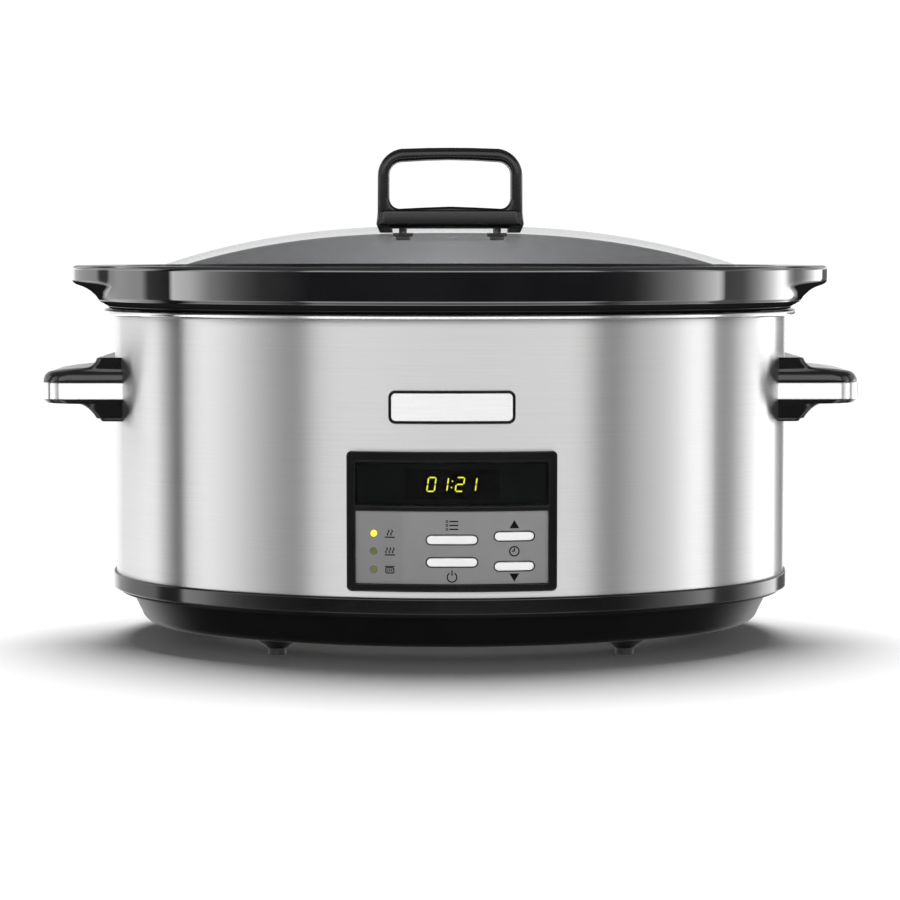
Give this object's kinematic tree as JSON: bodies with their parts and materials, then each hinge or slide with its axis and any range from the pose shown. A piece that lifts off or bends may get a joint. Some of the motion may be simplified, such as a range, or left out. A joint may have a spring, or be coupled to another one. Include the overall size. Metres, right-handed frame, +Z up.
{
  "type": "slow cooker",
  "caption": "Oval steel-wrapped slow cooker with a lift-out glazed crock, domed glass lid, side handles and a front panel of push buttons and a lit display.",
  "frame": {"origin": "middle of the footprint, on the surface the feet stand on", "axes": "+X to the right handle, +Z up, the control panel faces -Y"},
  "size_m": [0.444, 0.3038, 0.2694],
  "materials": {
    "brushed_steel": "horizontally brushed stainless steel",
    "well_steel": "bright pressed steel with a rolled bead",
    "plated_steel": "plain zinc-plated steel",
    "gloss_black": "glossy black moulded plastic",
    "satin_black": "satin black moulded plastic",
    "pan_black": "fine-textured matt black plastic",
    "rubber_black": "black rubber",
    "black_glaze": "glossy black glazed stoneware",
    "lid_glass": "clear tempered glass",
    "chrome": "bright chrome trim",
    "tinted_lens": "dark tinted window",
    "fascia_grey": "mid grey satin fascia",
    "button_silver": "silver painted push button",
    "badge_silver": "satin silver blank plate with a dark border",
    "display_black": "black display block",
    "digits_lit": "lit yellow-green digits",
    "led_yellow": "lit yellow indicator",
    "led_green": "unlit green indicator",
    "led_amber": "unlit amber indicator",
    "board_green": "glass-fibre circuit board",
    "part_black": "moulded component body",
    "part_blue": "blue component body",
    "part_yellow": "yellow component body",
    "terminal_ivory": "ivory terminal block",
    "heater_mica": "mica and foil heater band",
    "blanket_white": "glass-fibre blanket",
    "lead_white": "white silicone-sleeved wire",
    "lead_red": "red insulated wire",
    "cable_grey": "flat grey ribbon cable",
    "fuse_ceramic": "ceramic fuse body"
  },
  "bodies": {
    "base": {"outer_wrap": "brushed_steel", "heating_well": "well_steel", "heater_band": "heater_mica", "heater_clamp": "plated_steel", "insulation_blanket": "blanket_white", "base_ring": "gloss_black", "base_pan": "pan_black", "rubber_feet": "rubber_black", "bottom_plate": "plated_steel", "base_screws": "plated_steel", "tie_bolt": "plated_steel", "tie_nut": "plated_steel", "heat_shield": "plated_steel", "shield_screws": "plated_steel", "board_bracket": "plated_steel", "power_board": "board_green", "board_screws": "plated_steel", "relay": "part_blue", "transformer": "part_black", "filter_capacitor": "part_yellow", "terminal_block": "terminal_ivory", "heater_leads": "lead_white", "board_leads": "lead_red", "thermal_fuse": "fuse_ceramic", "temperature_sensor": "plated_steel", "cord_gland": "satin_black", "gland_nut": "satin_black", "panel_bezel": "gloss_black", "display_lens": "tinted_lens", "fascia_plate": "fascia_grey", "display_module": "display_black", "display_digits": "digits_lit", "low_led": "led_yellow", "high_led": "led_green", "warm_led": "led_amber", "control_board": "board_green", "panel_screws": "plated_steel", "tact_switches": "part_black", "ribbon_cable": "cable_grey", "badge_plate": "badge_silver", "left_handle": "gloss_black", "right_handle": "gloss_black", "left_handle_trim": "chrome", "right_handle_trim": "chrome", "handle_brackets": "plated_steel", "handle_screws": "plated_steel"},
    "crock_body": {"crock": "black_glaze"},
    "lid_body": {"lid_glass": "lid_glass", "lid_handle": "satin_black", "lid_handle_washers": "rubber_black", "lid_handle_screws": "plated_steel"},
    "menu_button_body": {"menu_button": "button_silver"},
    "power_button_body": {"power_button": "button_silver"},
    "up_button_body": {"up_button": "button_silver"},
    "down_button_body": {"down_button": "button_silver"}
  },
  "joints": [
    {"name": "crock_lift", "type": "slide", "parent": "base", "child": "crock_body", "axis": [0, 0, 1], "range_m": [0, 0.13]},
    {"name": "lid_lift", "type": "slide", "parent": "crock_body", "child": "lid_body", "axis": [0, 0, 1], "range_m": [0, 0.08]},
    {"name": "menu_button_press", "type": "slide", "parent": "base", "child": "menu_button_body", "axis": [0, 1, 0], "range_m": [0, 0.0005], "stiffness_N_per_m": 600},
    {"name": "power_button_press", "type": "slide", "parent": "base", "child": "power_button_body", "axis": [0, 1, 0], "range_m": [0, 0.0005], "stiffness_N_per_m": 600},
    {"name": "up_button_press", "type": "slide", "parent": "base", "child": "up_button_body", "axis": [0, 1, 0], "range_m": [0, 0.0005], "stiffness_N_per_m": 600},
    {"name": "down_button_press", "type": "slide", "parent": "base", "child": "down_button_body", "axis": [0, 1, 0], "range_m": [0, 0.0005], "stiffness_N_per_m": 600}
  ]
}
